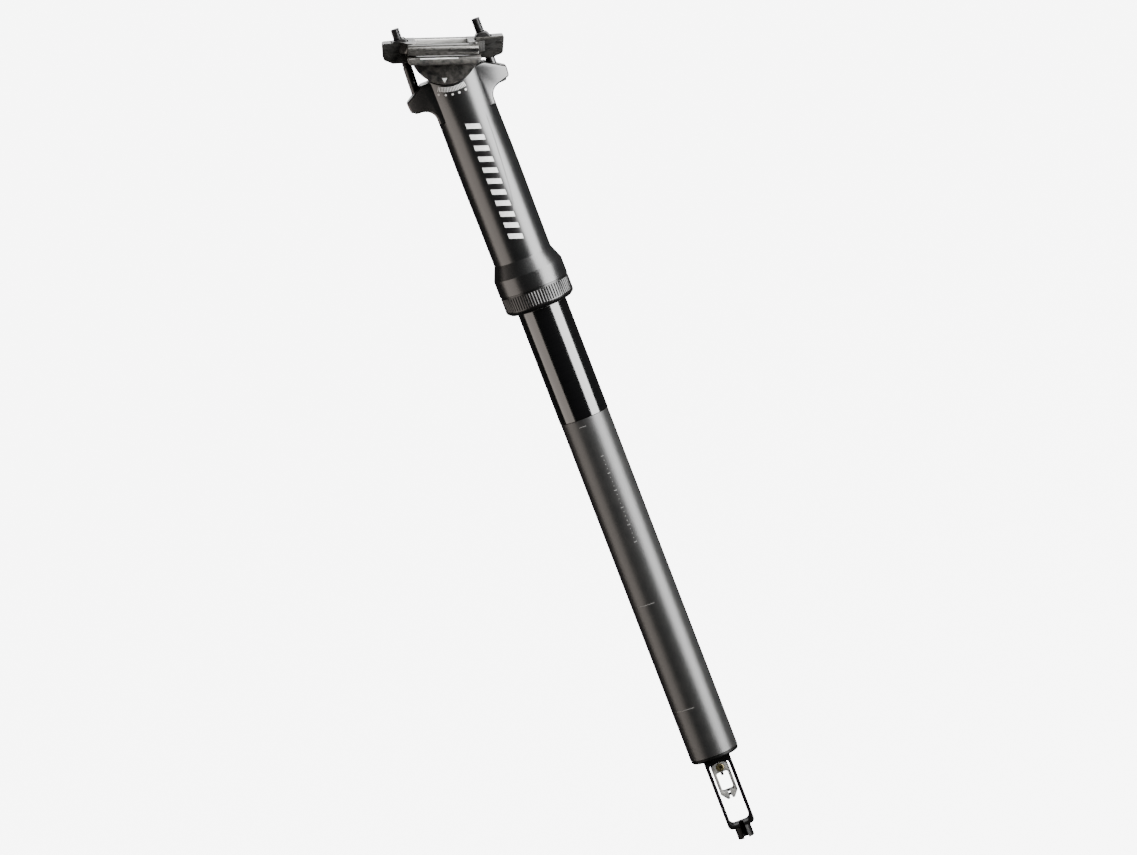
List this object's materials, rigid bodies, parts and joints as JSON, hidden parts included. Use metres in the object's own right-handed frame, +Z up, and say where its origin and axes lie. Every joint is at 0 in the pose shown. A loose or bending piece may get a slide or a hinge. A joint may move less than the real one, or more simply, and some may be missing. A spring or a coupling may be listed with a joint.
{
  "type": "height-adjustable bicycle seatpost",
  "caption": "Spring-assisted telescopic bicycle seatpost with a cable-pulled release at its foot and a two-bolt tilting clamp for saddle rails.",
  "frame": {"origin": "on the post's axis, at the lower end of the tube that goes into the bicycle frame", "axes": "+Z up the post's axis towards the saddle; +X forward, towards the handlebar; rails lie along X, tilted nose-down at rest"},
  "size_m": [0.065, 0.055, 0.4796],
  "materials": {
    "lower_tube_black": "matte blasted and anodised black",
    "gloss_black": "ground, hard-anodised gloss black",
    "satin_black": "satin black anodised",
    "plug_black": "semi-matte black anodised",
    "bare_aluminium": "bare machined aluminium",
    "plain_steel": "ground steel",
    "spring_steel": "oiled spring steel wire",
    "bushing_polymer": "low-friction bearing polymer",
    "key_brass": "machined brass",
    "screw_brass": "dull brass",
    "seal_rubber": "soft black rubber",
    "forged_black": "forged and blasted dark grey with worn lighter edges",
    "black_steel": "black oxide steel"
  },
  "bodies": {
    "root": {"lower_tube": "lower_tube_black", "stanchion": "gloss_black", "bottom_plug": "plug_black", "actuator_cage": "plug_black", "support_tube": "bare_aluminium", "ball_head": "plain_steel", "lock_balls": "plain_steel", "return_spring": "spring_steel", "spring_seat": "plug_black", "main_spring": "spring_steel", "upper_bushing": "bushing_polymer", "guide_keys": "key_brass"},
    "upper_post": {"upper_tube": "satin_black", "seal_collar": "satin_black", "wiper_seal": "seal_rubber", "lower_bushing": "bushing_polymer", "lock_tube": "bare_aluminium"},
    "carriage": {"cable_carriage": "bare_aluminium", "cable_clamp_screw": "screw_brass", "release_rod": "plain_steel"},
    "saddle_clamp": {"saddle_cradle": "forged_black", "upper_clamp": "forged_black"},
    "rear_nut": {"rear_nut": "black_steel"},
    "front_nut": {"front_nut": "black_steel"},
    "rear_washer": {"rear_washer": "black_steel"},
    "front_washer": {"front_washer": "black_steel"},
    "rear_bolt": {"rear_bolt": "black_steel"},
    "front_bolt": {"front_bolt": "black_steel"}
  },
  "joints": [
    {"name": "post_slide", "type": "slide", "parent": "root", "child": "upper_post", "axis": [0, 0, -1], "range_m": [0, 0.06], "stiffness_N_per_m": 1500, "springref_m": -0.08, "deforming": ["main_spring"]},
    {"name": "carriage_slide", "type": "slide", "parent": "root", "child": "carriage", "axis": [0, 0, -1], "range_m": [0, 0.006], "stiffness_N_per_m": 800, "springref_m": -0.0125, "deforming": ["return_spring"]},
    {"name": "saddle_tilt", "type": "hinge", "parent": "upper_post", "child": "saddle_clamp", "pos_m": [0, 0, 0.4118], "axis": [0, -1, 0], "range_deg": [-5, 20]},
    {"name": "rear_nut_pivot", "type": "hinge", "parent": "saddle_clamp", "child": "rear_nut", "pos_m": [-0.02072, 0, 0.42062], "axis": [0, -1, 0], "range_deg": [-17, 5]},
    {"name": "front_nut_pivot", "type": "hinge", "parent": "saddle_clamp", "child": "front_nut", "pos_m": [0.02208, 0, 0.40737], "axis": [0, -1, 0], "range_deg": [-22, 6]},
    {"name": "rear_bolt_feed", "type": "slide", "parent": "rear_nut", "child": "rear_washer", "axis": [-0.0403, 0, -0.9992], "range_m": [-0.008, 0.0022]},
    {"name": "front_bolt_feed", "type": "slide", "parent": "front_nut", "child": "front_washer", "axis": [-0.0042, 0, -1], "range_m": [-0.0022, 0.0082]},
    {"name": "rear_bolt_turn", "type": "hinge", "parent": "rear_washer", "child": "rear_bolt", "pos_m": [-0.022, 0, 0.3888], "axis": [-0.0403, 0, -0.9992], "continuous": true},
    {"name": "front_bolt_turn", "type": "hinge", "parent": "front_washer", "child": "front_bolt", "pos_m": [0.022, 0, 0.3888], "axis": [-0.0042, 0, -1], "continuous": true}
  ],
  "couplings": [
    {"joint": "rear_nut_pivot", "follows": "saddle_tilt", "ratio": -0.82},
    {"joint": "front_nut_pivot", "follows": "saddle_tilt", "ratio": -1.05},
    {"joint": "rear_bolt_feed", "follows": "saddle_tilt", "m_per_rad": -0.0218},
    {"joint": "front_bolt_feed", "follows": "saddle_tilt", "m_per_rad": 0.0224}
  ]
}
